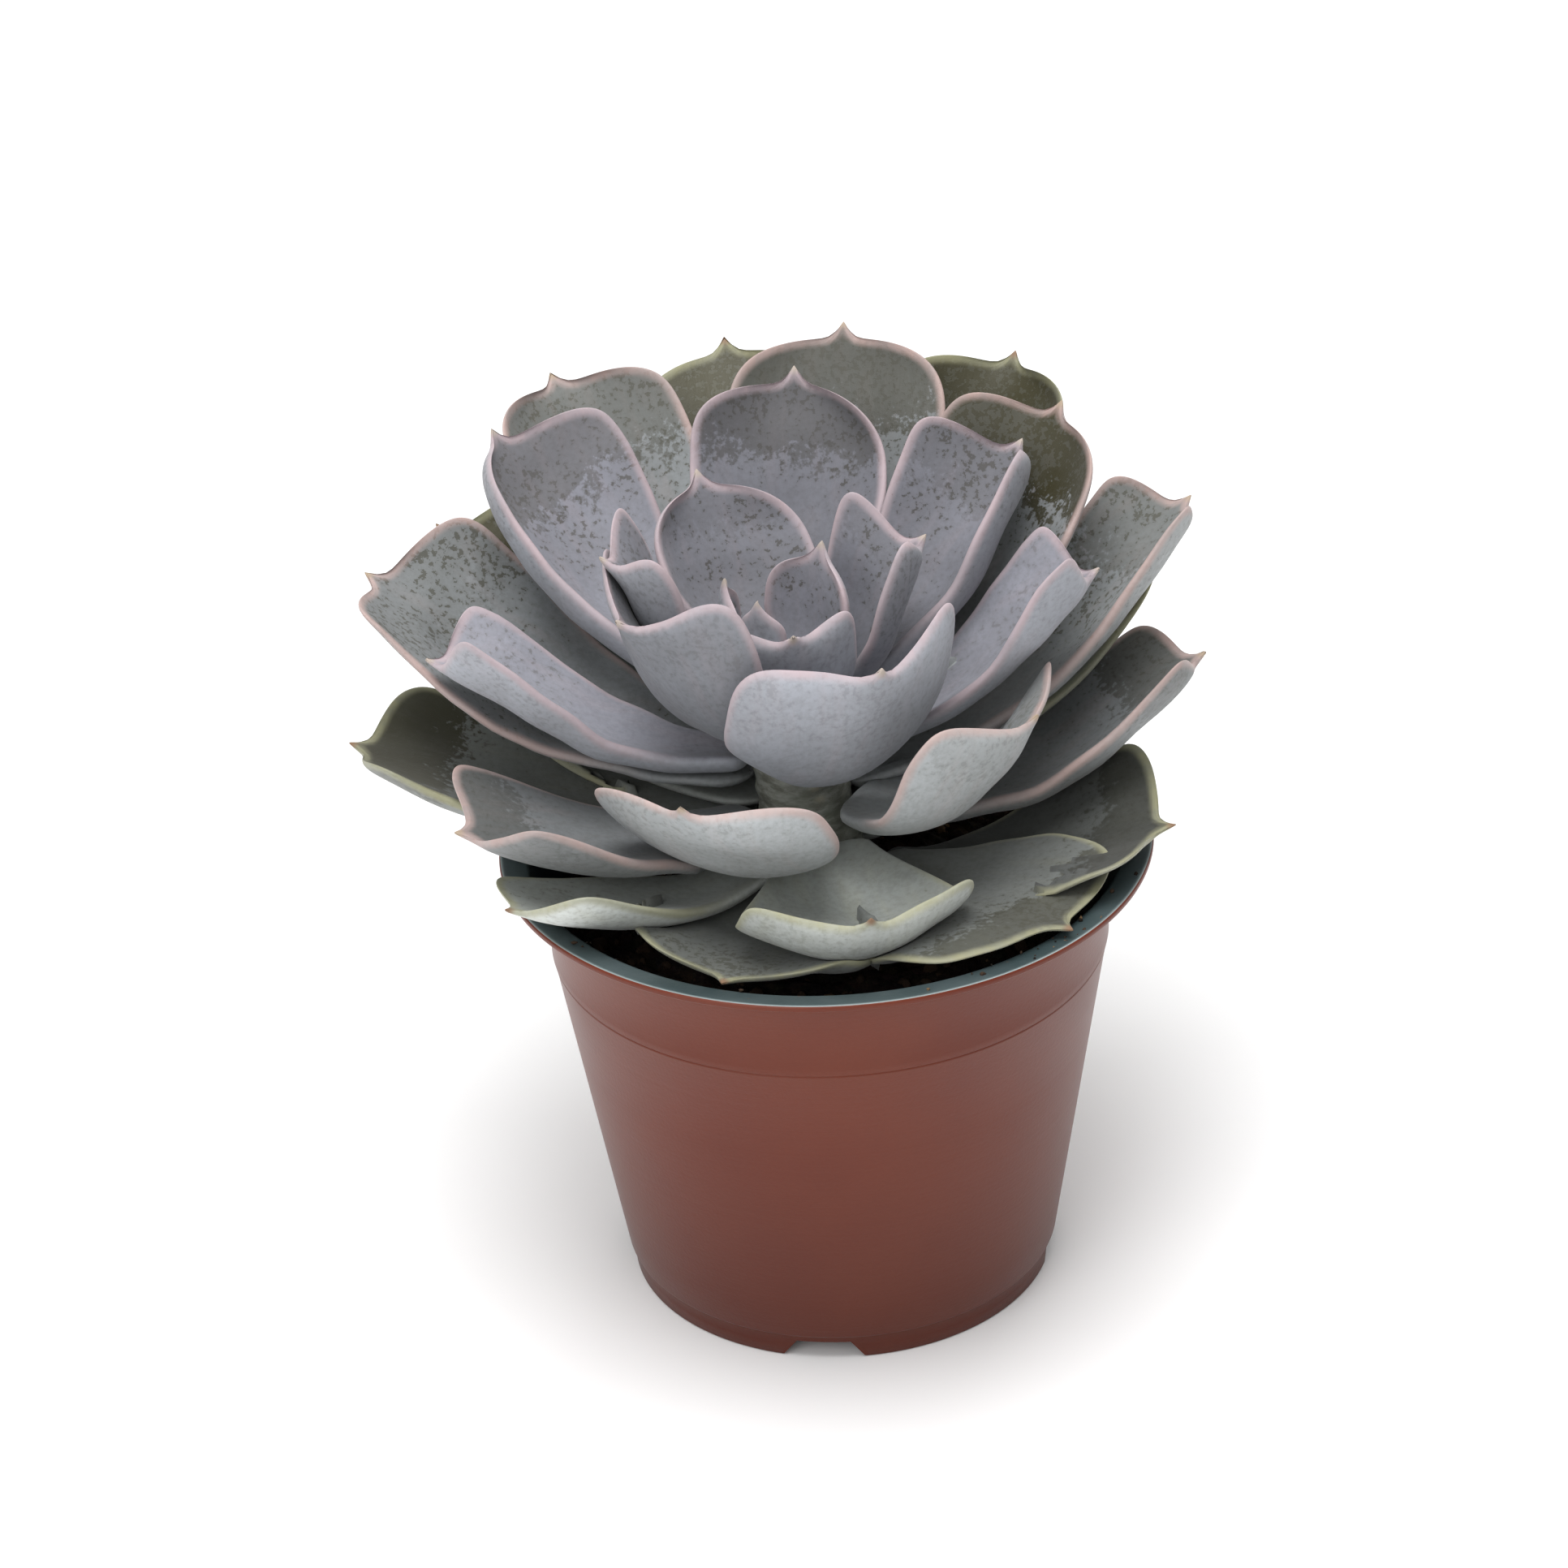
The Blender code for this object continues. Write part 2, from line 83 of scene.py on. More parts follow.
# One row a leaf, as in the CAD, from the lowest to the innermost. Degrees for azimuth (from +X,
# anticlockwise), for the midrib's elevation where it leaves and where it ends, and for how far
# each half of the blade is cupped; millimetres for the rest, except that rounding is the length
# of the rounded end as a part of the width. lip_* is how far the margin rises beside the point.
Leaf = namedtuple("Leaf", "azimuth height reach rise leaves_at ends_at width rounding"
                          " cup_left cup_right lip_left lip_right thickness colour")
OLD, OUTER, INNER = "old_leaf", "outer_leaf", "inner_leaf"
LEAVES = (
    Leaf(350, 80.0, 65, 13.5, -12, 20, 46, 0.25, 20, 20, 3, 2, 3.5, OLD),
    Leaf(249, 80.5, 53, 7, -11, 15, 46, 0.50, 20, 20, 1, 1, 3.5, OLD),
    Leaf(62, 82.5, 70, 17, -2, 25, 38, 0.50, 30, 30, 2, 2, 4.0, OLD),
    Leaf(316, 84.5, 61, 6, -12, 3, 52, 0.45, 12, 8, 0, 0, 3.5, OLD),
    Leaf(109, 80.5, 74, 21, 4, 25, 36, 0.50, 30, 30, 2, 2, 4.0, OLD),
    Leaf(214, 86.5, 67, 10.5, -15, 26, 28, 0.30, 40, 15, 3, 0, 4.0, OLD),
    Leaf(140, 83.0, 70, 17, -2, 20, 32, 0.50, 20, 20, 0, 0, 4.0, OLD),
    Leaf(280, 90.5, 54, 10, -15, 65, 44, 0.45, 30, 25, 4, 6, 4.0, OLD),
    Leaf(171, 87.5, 86, 17, 0, 25, 42, 0.30, 30, 18, 4, 2, 4.5, OLD),
    Leaf(84, 89.0, 78, 26, -5, 35, 40, 0.50, 30, 30, 2, 2, 4.0, OLD),
    Leaf(40, 90.5, 83, 33, 0, 40, 38, 0.45, 30, 30, 0, 0, 4.0, OLD),
    Leaf(202, 93.0, 68, 13, -8, 25, 38, 0.20, 30, 10, 4, 3, 4.5, OUTER),
    Leaf(13, 91.0, 76, 22, -14, 40, 34, 0.25, 18, 45, 1, 5, 4.5, OUTER),
    Leaf(138, 92.0, 92, 33, -8, 45, 40, 0.45, 30, 30, 0, 5, 4.0, OLD),
    Leaf(97, 93.5, 95, 53, 2, 52, 42, 0.50, 12, 35, -2, 0, 4.0, OLD),
    Leaf(60, 95.0, 89, 53, 5, 50, 42, 0.50, 35, 55, 2, 0, 4.0, OLD),
    Leaf(242, 95.0, 47, 23, -18, 60, 46, 0.35, 30, 15, 3, 1, 4.5, OUTER),
    Leaf(26, 96.0, 83, 39, 0, 45, 33, 0.30, 30, 50, 2, 6, 4.5, OUTER),
    Leaf(333, 96.5, 47, 25, -18, 60, 48, 0.40, 12, 40, 5, 8, 4.5, OUTER),
    Leaf(118, 98.0, 95, 47, 14, 48, 42, 0.45, 50, 50, 0, 2, 4.5, OUTER),
    Leaf(158, 99.5, 85, 30, -5, 40, 46, 0.35, 22, 35, 5, 4, 4.5, OUTER),
    Leaf(81, 101.0, 83, 52, 15, 52, 44, 0.50, 30, 30, 0, 0, 4.5, OUTER),
    Leaf(43, 101.5, 72, 48, 8, 60, 42, 0.45, 30, 42, 4, 0, 4.5, OUTER),
    Leaf(178, 103.0, 66, 23, -5, 30, 31, 0.18, 50, 35, 7, 2, 4.5, INNER),
    Leaf(135, 105.0, 76, 42, 15, 60, 42, 0.45, 80, 35, 0, 5, 4.5, INNER),
    Leaf(9, 105.5, 58, 28, 0, 40, 31, 0.18, 35, 50, 3, 8, 4.5, INNER),
    Leaf(298, 107.0, 35, 29, -15, 60, 50, 0.35, 40, 45, 7, 4, 5.0, INNER),
    Leaf(42, 109.0, 62, 36, 10, 50, 36, 0.40, 60, 85, 6, 7, 4.5, INNER),
    Leaf(86, 110.0, 64, 42, 15, 65, 42, 0.50, 40, 60, 2, -4, 4.5, INNER),
    Leaf(212, 111.0, 35, 30, 5, 45, 44, 0.30, 45, 35, 8, 6, 4.5, INNER),
    Leaf(188, 113.0, 32, 34, 20, 50, 28, 0.30, 50, 20, 6, 6, 4.0, INNER),
    Leaf(29, 113.0, 31, 26, 10, 50, 30, 0.35, 35, 80, 8, 8, 4.0, INNER),
    Leaf(112, 115.0, 37, 30, 25, 65, 36, 0.55, 70, 40, 0, -2, 4.0, INNER),
    Leaf(277, 115.0, 21, 22, 0, 60, 28, 0.40, 50, 50, 5, 3, 3.5, INNER),
    Leaf(48, 116.0, 13, 25, 40, 85, 22, 0.55, 50, 50, 0, 0, 3.5, INNER),
    Leaf(179, 117.0, 9, 22, 50, 90, 14, 0.60, 50, 50, 0, 0, 3.0, INNER),
    Leaf(241, 118.0, 6, 19, 60, 90, 10, 0.60, 40, 40, 0, 0, 2.5, INNER),
)


# By leaf number: the leaves that are darker or lighter than the rest, partly their own tone and
# partly painted light and shade, and the worn tips, from 0 (none of the bloom has come off) to 1.
# Other leaves have a slightly worn tip.
LEAF_TONES_AND_PAINTED_LIGHT = {1: 0.34, 2: 0.65, 4: 0.6, 6: 1.5, 8: 1.3, 9: 0.6, 12: 0.6, 13: 0.6, 16: 0.85, 18: 0.95,
         21: 0.8, 22: 0.75, 23: 0.85, 24: 1.2, 27: 1.05, 28: 0.75, 29: 0.65, 30: 0.7,
         31: 0.75, 32: 0.75, 33: 0.7}
WORN_TIPS = {1: 0.5, 3: 1.0, 4: 0.6, 5: 1.0, 7: 1.0, 9: 0.9, 10: 1.0, 11: 1.0, 12: 0.4, 13: 0.5,
             14: 1.0, 15: 1.0, 16: 1.0, 18: 0.35, 20: 0.5, 22: 0.7, 23: 1.0, 25: 0.45, 29: 0.5}

# How the leaves give way to each other.
PRESS_PASSES = 4
CLEAR = 0.5 * GAP                  # closer than this, the older leaf is moved
MOVED_TO = 0.8 * GAP
FELT_WITHIN = 4 * MM

# The stage: the lights' places, sizes and powers, and the camera, placed from the pot's axis.
AIM = (0, 0, 0.09)
WORLD_STRENGTH = 0.6
LIGHTS = (
    ("key", (-0.1, -0.2, 1.5), 1.0, 18.0),
    ("fill", (-0.5, -0.9, 0.6), 0.9, 4.0),
    ("back", (0.3, 0.8, 1.1), 0.8, 4.0),
)
CAMERA_PLACE = Vector((-0.0072, -0.7761, 0.5300))
CAMERA_LENS = 111.8                # millimetres, on a sensor 36 mm wide
CAMERA_DOWN = 29.0                 # degrees below the horizon
CAMERA_ROLL = -2.76


# ---------------------------------------------------------------- colours and node helpers

def linear(red, green, blue):
    """An sRGB colour, 0 to 255, as the linear colour that a shader takes."""
    def channel(value):
        value /= 255
        return value / 12.92 if value <= 0.04045 else ((value + 0.055) / 1.055) ** 2.4
    return channel(red), channel(green), channel(blue), 1.0


class Shader:
    """A Principled material and short calls for the nodes that feed it."""

    def __init__(self, name, roughness):
        self.material = bpy.data.materials.new(name)
        self.material.use_nodes = True
        self.tree = self.material.node_tree
        self.surface = self.tree.nodes["Principled BSDF"]
        self.surface.inputs["Roughness"].default_value = roughness

    def node(self, kind, **settings):
        node = self.tree.nodes.new(kind)
        for key, value in settings.items():
            setattr(node, key, value)
        return node

    def feed(self, socket, value):
        if isinstance(value, bpy.types.NodeSocket):
            self.tree.links.new(value, socket)
        else:
            socket.default_value = value

    def attribute(self, name):
        return self.node("ShaderNodeAttribute", attribute_name=name).outputs["Fac"]

    def place(self, name=None, scale=(1, 1, 1)):
        """Coordinates in metres: the object's own, or a vector attribute, stretched by scale."""
        if name:
            source = self.node("ShaderNodeAttribute", attribute_name=name).outputs["Vector"]
        else:
            source = self.node("ShaderNodeTexCoord").outputs["Object"]
        mapping = self.node("ShaderNodeMapping")
        self.feed(mapping.inputs["Vector"], source)
        mapping.inputs["Scale"].default_value = scale
        return mapping.outputs["Vector"]

    def noise(self, place, scale, detail=3.0, roughness=0.55, distortion=0.0):
        node = self.node("ShaderNodeTexNoise")
        self.feed(node.inputs["Vector"], place)
        node.inputs["Scale"].default_value = scale
        node.inputs["Detail"].default_value = detail
        node.inputs["Roughness"].default_value = roughness
        node.inputs["Distortion"].default_value = distortion
        return node.outputs["Fac"]

    def cells(self, place, scale, output="Distance", feature="F1"):
        node = self.node("ShaderNodeTexVoronoi", feature=feature)
        self.feed(node.inputs["Vector"], place)
        node.inputs["Scale"].default_value = scale
        return node.outputs[output]

    def math(self, operation, first, second=0.0, clamp=False):
        node = self.node("ShaderNodeMath", operation=operation, use_clamp=clamp)
        self.feed(node.inputs[0], first)
        self.feed(node.inputs[1], second)
        return node.outputs[0]

    def step(self, value, low, high, out_low=0.0, out_high=1.0):
        """Smoothly from out_low to out_high while value goes from low to high."""
        node = self.node("ShaderNodeMapRange", interpolation_type="SMOOTHSTEP")
        for socket, setting in zip(node.inputs, (value, low, high, out_low, out_high)):
            self.feed(socket, setting)
        return node.outputs[0]

    def mix(self, amount, first, second, blend="MIX"):
        node = self.node("ShaderNodeMix", data_type="RGBA", blend_type=blend)
        self.feed(node.inputs[0], amount)
        self.feed(node.inputs[6], first)
        self.feed(node.inputs[7], second)
        return node.outputs[2]

    def grey(self, value):
        """A grey as bright as a value."""
        node = self.node("ShaderNodeCombineColor")
        for socket in node.inputs:
            self.feed(socket, value)
        return node.outputs[0]

    def bump(self, height, distance, strength=1.0, onto=None):
        node = self.node("ShaderNodeBump")
        self.feed(node.inputs["Height"], height)
        node.inputs["Distance"].default_value = distance
        node.inputs["Strength"].default_value = strength
        if onto is not None:
            self.feed(node.inputs["Normal"], onto)
        return node.outputs["Normal"]

    def finish(self, colour, roughness=None, normal=None):
        self.feed(self.surface.inputs["Base Color"], colour)
        if roughness is not None:
            self.feed(self.surface.inputs["Roughness"], roughness)
        if normal is not None:
            self.feed(self.surface.inputs["Normal"], normal)
        return self.material


# ---------------------------------------------------------------- materials

def leaf_material(name, bloom, lower_face_and_painted_light, flesh, edge, tip):
    """A fleshy leaf beneath a powdery bloom, which has come off in specks and near the tip.

    The first two colours are the powder's on the upper and the lower face; the lower face's is
    partly its own paler bloom and partly painted light, lightened as if lit from the front. flesh is
    the leaf's own colour, edge and tip those of its margin and point.
    """
    s = Shader(name, 0.62)
    s.surface.inputs["Specular IOR Level"].default_value = 0.3
    s.surface.inputs["Sheen Weight"].default_value = 0.10
    s.surface.inputs["Sheen Roughness"].default_value = 0.5
    place = s.place()
    along = s.attribute("along")
    upper = s.attribute("upper")
    cloud = s.noise(place, 45, 4.0, 0.6)
    fine = s.noise(place, 850, 3.0, 0.6)
    streaks = s.noise(s.place("blade", (260, 45, 1000)), 1.0, 4.0, 0.6, 0.4)
    blotches = s.noise(place, 150, 7.0, 0.7, 0.6)

    # The lower face's powder is lighter: partly its own paler bloom, partly painted light from the
    # front.
    powder = s.mix(upper, lower_face_and_painted_light, bloom)
    greener = s.mix(0.22, powder, flesh)
    powder = s.mix(s.step(cloud, 0.4, 0.65, 0.0, 0.8), powder, greener)
    powder = s.mix(s.step(streaks, 0.45, 0.75, 0.0, 0.35), powder, s.mix(0.35, powder, edge))
    powder = s.mix(s.step(fine, 0.35, 0.7, 0.0, 0.18), powder, flesh)

    bare = bare_tip(s, along, blotches, fine)
    bare = s.math("MULTIPLY", bare, s.attribute("wear"))
    spots = bare_specks(s, along, cloud, fine)
    spots = s.math("MULTIPLY", spots, s.attribute("specks"))
    face = s.step(upper, 0.35, 0.65, 0.35, 1.0)
    bare = s.math("MULTIPLY", bare, face, True)
    spots = s.math("MULTIPLY", spots, face, True)
    skin = s.mix(s.step(cloud, 0.4, 0.62, 0.0, 0.06), flesh, powder)
    colour = s.mix(bare, powder, skin)
    colour = s.mix(spots, colour, s.mix(0.25, flesh, powder))
    # Each leaf's brightness: its own tone together with painted light and shade, leaf by leaf.
    colour = s.mix(1.0, colour, s.grey(s.attribute("tone_and_painted_light")), "MULTIPLY")

    margin = s.math("ADD", s.attribute("margin"), s.math("MULTIPLY", cloud, 0.0012))
    rim = s.math("MULTIPLY", s.step(margin, 0.0010, 0.0028, 0.8, 0.0), s.step(along, 0.15, 0.5))
    colour = s.mix(rim, colour, s.mix(s.step(streaks, 0.35, 0.7), edge, s.mix(0.4, edge, powder)))
    pip = s.step(s.attribute("tip_distance"), 0.0004, 0.0022, 0.9, 0.0)
    colour = s.mix(pip, colour, tip)

    rough = s.step(bare, 0.0, 1.0, 0.66, 0.45)
    height = s.math("SUBTRACT", s.math("MULTIPLY", fine, 0.6), s.math("MULTIPLY", spots, 0.3))
    normal = s.bump(height, 0.14 * MM, 0.6, s.bump(streaks, 0.35 * MM, 0.45))
    return s.finish(colour, rough, normal)


def bare_tip(s, along, blotches, fine):
    """Where the bloom is rubbed off: solid at the tip, breaking up into mottles lower down."""
    mottle = s.math("ADD", s.math("MULTIPLY", blotches, 1.5), s.math("MULTIPLY", fine, 1.1))
    reach = s.math("ADD", s.step(along, 0.58, 1.0, 0.0, 1.15), mottle)
    return s.step(reach, 1.80, 1.98)


def bare_specks(s, along, cloud, fine):
    """Small bare specks with ragged outlines, crowded towards the tip and in drifts."""
    crowd = s.math("ADD", s.step(along, 0.3, 1.0, 0.0, 0.15), s.math("MULTIPLY", cloud, 0.45))
    return s.step(s.math("ADD", fine, crowd), 0.93, 0.97, 0.0, 0.85)


def make_leaf_materials():
    return {
        # The second colour of each is the lower face's powder, partly its own paler bloom and partly
        # painted light.
        OLD: leaf_material("old leaf", linear(134, 138, 135), linear(176, 180, 177),
                           linear(60, 56, 30), linear(156, 154, 122), linear(128, 96, 72)),
        OUTER: leaf_material("outer leaf", linear(142, 146, 148), linear(176, 180, 182),
                             linear(58, 54, 30), linear(186, 160, 154), linear(164, 146, 124)),
        INNER: leaf_material("inner leaf", linear(136, 137, 146), linear(164, 167, 175),
                             linear(70, 66, 56), linear(186, 166, 170), linear(172, 160, 148)),
    }


def pot_outside_material():
    """Satin terracotta-coloured plastic: faint turning marks, dust, scuffs and rubbed spots, with
    painted shade darkening the wall towards its foot.
    """
    s = Shader("pot outside", 0.42)
    s.surface.inputs["Specular IOR Level"].default_value = 0.32
    place = s.place()
    broad = s.noise(place, 22, 3.0, 0.5)
    grain = s.noise(place, 1400, 2.0, 0.5)
    turned = s.noise(s.place(scale=(12, 12, 900)), 1.0, 3.0, 0.6)
    colour = s.mix(s.step(broad, 0.3, 0.7), linear(97, 37, 18), linear(105, 45, 25))
    colour = s.mix(s.math("MULTIPLY", grain, 0.25), colour, linear(76, 32, 20))
    scuff = s.noise(s.place(scale=(160, 160, 420)), 1.0, 6.0, 0.7, 1.2)
    scuff = s.step(scuff, 0.70, 0.76, 0.0, 0.35)
    colour = s.mix(scuff, colour, linear(150, 106, 90))
    dirt = s.math("MULTIPLY", s.step(s.cells(place, 210), 0.0, 0.10, 1.0, 0.0),
                  s.step(s.noise(place, 35, 2.0), 0.60, 0.72))
    colour = s.mix(s.math("MULTIPLY", dirt, 0.6), colour, linear(60, 36, 28))
    # Painted shade: the wall's colour is darkened towards the foot, where less light reaches it.
    level = s.node("ShaderNodeSeparateXYZ")
    s.feed(level.inputs[0], place)
    painted_shade_towards_foot = s.step(level.outputs["Z"], 0.0, SEAM_HEIGHT, 0.68, 1.0)
    colour = s.mix(1.0, colour, s.grey(painted_shade_towards_foot), "MULTIPLY")
    rough = s.math("ADD", s.math("MULTIPLY", broad, 0.16), 0.30)
    normal = s.bump(s.math("ADD", grain, turned), 0.06 * MM, 0.5)
    return s.finish(colour, rough, normal)


def pot_inside_material():
    """Dark grey-green plastic, pale along the lip's outer edge."""
    s = Shader("pot inside", 0.34)
    s.surface.inputs["Specular IOR Level"].default_value = 0.5
    place = s.place()
    cloud = s.noise(place, 60, 4.0, 0.6)
    grain = s.noise(place, 1200, 2.0, 0.5)
    colour = s.mix(s.step(cloud, 0.35, 0.65), linear(54, 68, 70), linear(70, 82, 84))
    scratch = s.step(s.noise(s.place(scale=(300, 300, 60)), 1.0, 6.0, 0.7, 0.8), 0.66, 0.74)
    colour = s.mix(s.math("MULTIPLY", scratch, 0.4), colour, linear(118, 128, 128))
    dust = s.math("MULTIPLY", s.step(s.cells(place, 380), 0.0, 0.16, 1.0, 0.0),
                  s.step(s.noise(place, 90, 3.0), 0.52, 0.64))
    colour = s.mix(s.math("MULTIPLY", dust, 0.7), colour, linear(92, 78, 62))
    edge = s.step(s.attribute("edge"), 0.2, 0.9)
    colour = s.mix(s.math("MULTIPLY", edge, 0.8), colour, linear(150, 162, 162))
    rough = s.math("ADD", s.math("MULTIPLY", cloud, 0.2), 0.26)
    return s.finish(colour, rough, s.bump(grain, 0.05 * MM, 0.5))


def soil_material():
    s = Shader("soil", 0.95)
    s.surface.inputs["Specular IOR Level"].default_value = 0.2
    place = s.place()
    crumbs = s.cells(place, 420, "Color")
    lumps = s.cells(place, 420)
    shade = s.noise(place, 260, 5.0, 0.7)
    colour = s.mix(s.step(shade, 0.35, 0.7), linear(24, 20, 18), linear(58, 46, 37))
    colour = s.mix(0.35, colour, s.mix(1.0, colour, crumbs, "MULTIPLY"))
    fibre = s.noise(s.place(scale=(900, 160, 500)), 1.0, 4.0, 0.6, 1.5)
    colour = s.mix(s.step(fibre, 0.68, 0.74, 0.0, 0.7), colour, linear(96, 74, 52))
    height = s.math("SUBTRACT", shade, lumps)
    return s.finish(colour, None, s.bump(height, 0.7 * MM, 0.9))


def crumb_material():
    s = Shader("crumbs", 0.92)
    s.surface.inputs["Specular IOR Level"].default_value = 0.2
    place = s.place()
    kind = s.attribute("kind")
    grain = s.noise(place, 900, 4.0, 0.7)
    colour = s.mix(s.step(kind, 0.0, 0.6), linear(24, 20, 17), linear(70, 54, 42))
    colour = s.mix(s.step(kind, 0.86, 0.90), colour, linear(124, 100, 72))
    colour = s.mix(s.step(kind, 0.975, 0.98), colour, linear(176, 170, 156))
    colour = s.mix(s.math("MULTIPLY", grain, 0.5), colour, linear(20, 16, 13))
    return s.finish(colour, None, s.bump(grain, 0.3 * MM, 0.8))


def stem_material():
    """Corky skin with the pale scars of fallen leaves."""
    s = Shader("stem", 0.8)
    place = s.place()
    bark = s.noise(s.place(scale=(260, 260, 700)), 1.0, 5.0, 0.65)
    scars = s.cells(s.place(scale=(150, 150, 260)), 1.0)
    colour = s.mix(s.step(bark, 0.35, 0.65), linear(98, 98, 88), linear(134, 136, 128))
    colour = s.mix(s.step(scars, 0.0, 0.28, 0.7, 0.0), colour, linear(150, 146, 126))
    green = s.step(s.noise(place, 90, 2.0), 0.45, 0.65)
    colour = s.mix(s.math("MULTIPLY", green, 0.5), colour, linear(112, 118, 104))
    return s.finish(colour, None, s.bump(s.math("SUBTRACT", bark, scars), 0.5 * MM, 0.8))


def floor_material():
    s = Shader("floor", 0.9)
    s.surface.inputs["Specular IOR Level"].default_value = 0.1
    mottle = s.noise(s.place(), 3.0, 2.0)
    return s.finish(s.mix(mottle, (0.86, 0.86, 0.86, 1), (0.9, 0.9, 0.9, 1)))


# ---------------------------------------------------------------- mesh helpers

def add_piece(name, mesh, slot, materials, *nodes):
    """Show a mesh as a piece of the visual model that stands for some CAD nodes."""
    for material in materials:
        mesh.materials.append(material)
    mesh.shade_smooth()
    piece = bpy.data.objects.new(name, mesh)
    bpy.context.scene.collection.objects.link(piece)
    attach(piece, "root")
    if nodes:
        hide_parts(*nodes)
    return piece


def store(mesh, name, values):
    """Keep one number, or one vector, for each vertex, for the materials to read."""
    values = np.ascontiguousarray(values, dtype=np.float32)
    if values.ndim == 1:
        mesh.attributes.new(name, "FLOAT", "POINT").data.foreach_set("value", values)
    else:
        layer = mesh.attributes.new(name, "FLOAT_VECTOR", "POINT")
        layer.data.foreach_set("vector", values.ravel())


def grid_mesh(name, points, start, end):
    """A closed skin of rings (rings x segments x 3), with a point at its start and its end."""
    rings, segments, _ = points.shape
    verts = [tuple(start)] + [tuple(p) for p in points.reshape(-1, 3)] + [tuple(end)]
    last = len(verts) - 1
    faces = []
    for j in range(segments):
        k = (j + 1) % segments
        faces.append((0, 1 + k, 1 + j))
        faces.append((last, last - segments + j, last - segments + k))
        for i in range(rings - 1):
            row, above = 1 + i * segments, 1 + (i + 1) * segments
            faces.append((row + j, row + k, above + k, above + j))
    mesh = bpy.data.meshes.new(name)
    mesh.from_pydata(verts, [], faces)
    return mesh


def smooth(value):
    value = np.clip(value, 0, 1)
    return value * value * (3 - 2 * value)


# ---------------------------------------------------------------- leaves

def stem_point(height):
    part = (height - STEM_FOOT.z) / (STEM_TOP.z - STEM_FOOT.z)
    return STEM_FOOT.lerp(STEM_TOP, part)


def stem_radius(height):
    part = (height - STEM_FOOT.z) / (STEM_TOP.z - STEM_FOOT.z)
    part = min(max(part, 0), 1)
    return STEM_RADIUS * math.sqrt(1 - part ** 3)


def chord(leaf):
    """Millimetres from the leaf's root straight to its end."""
    return math.hypot(leaf.reach - STEM_SHARE, leaf.rise)


def rounded_part(leaf):
    """The part of the leaf's length that its rounded end takes; the midrib is 8 % longer than
    its chord, near enough."""
    length = 1.08 * chord(leaf)
    return min(leaf.rounding * leaf.width / length, 0.5)


def ring_places(leaf):
    """Where the rings lie along the leaf: close together at the root and round the tip."""
    rounded = rounded_part(leaf)
    widest = 1 - rounded
    root = np.array([0.002, 0.008, 0.018, 0.032, 0.05])
    blade = np.linspace(0.08, widest, 22)
    width = np.cos(np.linspace(0, 1, 25)[1:-1] * math.pi / 2)
    end = (1 - width ** (1 / 0.42)) ** (1 / 3.5)
    start_of_end = np.array([0.06, 0.12, 0.18])
    return np.concatenate([root, blade, widest + rounded * np.concatenate([start_of_end, end])])


def root_taper(along):
    return np.sqrt(1 - (1 - np.minimum(along / ROOT_LENGTH, 1)) ** 2)


def blade_width(leaf, along):
    rounded = rounded_part(leaf)
    widest = 1 - rounded
    growth = np.sin(np.minimum(along / widest, 1) * math.pi / 2) ** 1.5
    tip = np.clip((along - widest) / rounded, 0, 1)
    end = (1 - tip ** 3.5) ** 0.42
    return (BASE_WIDTH + (1 - BASE_WIDTH) * growth) * root_taper(along) * end


def blade_thickness(along):
    swell = 0.75 + 0.25 * np.sin(np.pi * along)
    return swell * root_taper(along) * np.sqrt(np.maximum(1 - along ** 7, 0))


def midrib(leaf, along):
    """Points, tangents, leftward and upward directions on the leaf's midrib."""
    azimuth = math.radians(leaf.azimuth)
    outward = np.array([math.cos(azimuth), math.sin(azimuth), 0])
    up = np.array([0, 0, 1.0])
    height = leaf.height * MM
    start_angle, end_angle = math.radians(leaf.leaves_at), math.radians(leaf.ends_at)
    end_direction = np.array([math.cos(end_angle), math.sin(end_angle)])
    start = np.array([stem_radius(height - 2 * MM) + GAP + 0.1 * MM, 0])
    end = np.array([leaf.reach, leaf.rise]) * MM - POINT_LENGTH * end_direction
    handle = HANDLE * np.linalg.norm(end - start)
    after = start + handle * np.array([math.cos(start_angle), math.sin(start_angle)])
    before = end - handle * end_direction
    t = along[:, None]
    left = 1 - t
    point = left ** 3 * start + 3 * left ** 2 * t * after + 3 * left * t ** 2 * before + t ** 3 * end
    slope = left ** 2 * (after - start) + 2 * left * t * (before - after) + t ** 2 * (end - before)
    slope /= np.linalg.norm(slope, axis=1, keepdims=True)
    centre = np.array(stem_point(height)) + point[:, :1] * outward + point[:, 1:] * up
    tangent = slope[:, :1] * outward + slope[:, 1:] * up
    leftward = np.cross(up, outward)
    return centre, tangent, leftward, np.cross(tangent, leftward)


def leaf_section(leaf, along, turn):
    """Each skin point's distance sideways from the midrib, above it, and its margin's lift."""
    across = np.cos(turn)[None, :]
    is_left = across > 0
    cup = np.radians(np.where(is_left, leaf.cup_left, leaf.cup_right))
    lip = np.where(is_left, leaf.lip_left, leaf.lip_right) * MM
    half = (leaf.width / 2 * MM * blade_width(leaf, along))[:, None]
    bend = cup * np.abs(across)
    outer = half * np.sin(bend) / cup
    raised = half * (1 - np.cos(bend)) / cup
    skin = (leaf.thickness / 2 * MM * blade_thickness(along))[:, None]
    skin = skin * np.sign(np.sin(turn)) * np.abs(np.sin(turn)) ** 0.8
    sideways = np.sign(across) * (outer - np.sin(bend) * skin)
    raised = raised + np.cos(bend) * skin
    lift = lip * smooth((along - 0.45) / 0.5)[:, None] * (outer / (0.4 * leaf.width * MM)) ** 1.6
    return sideways, raised, lift


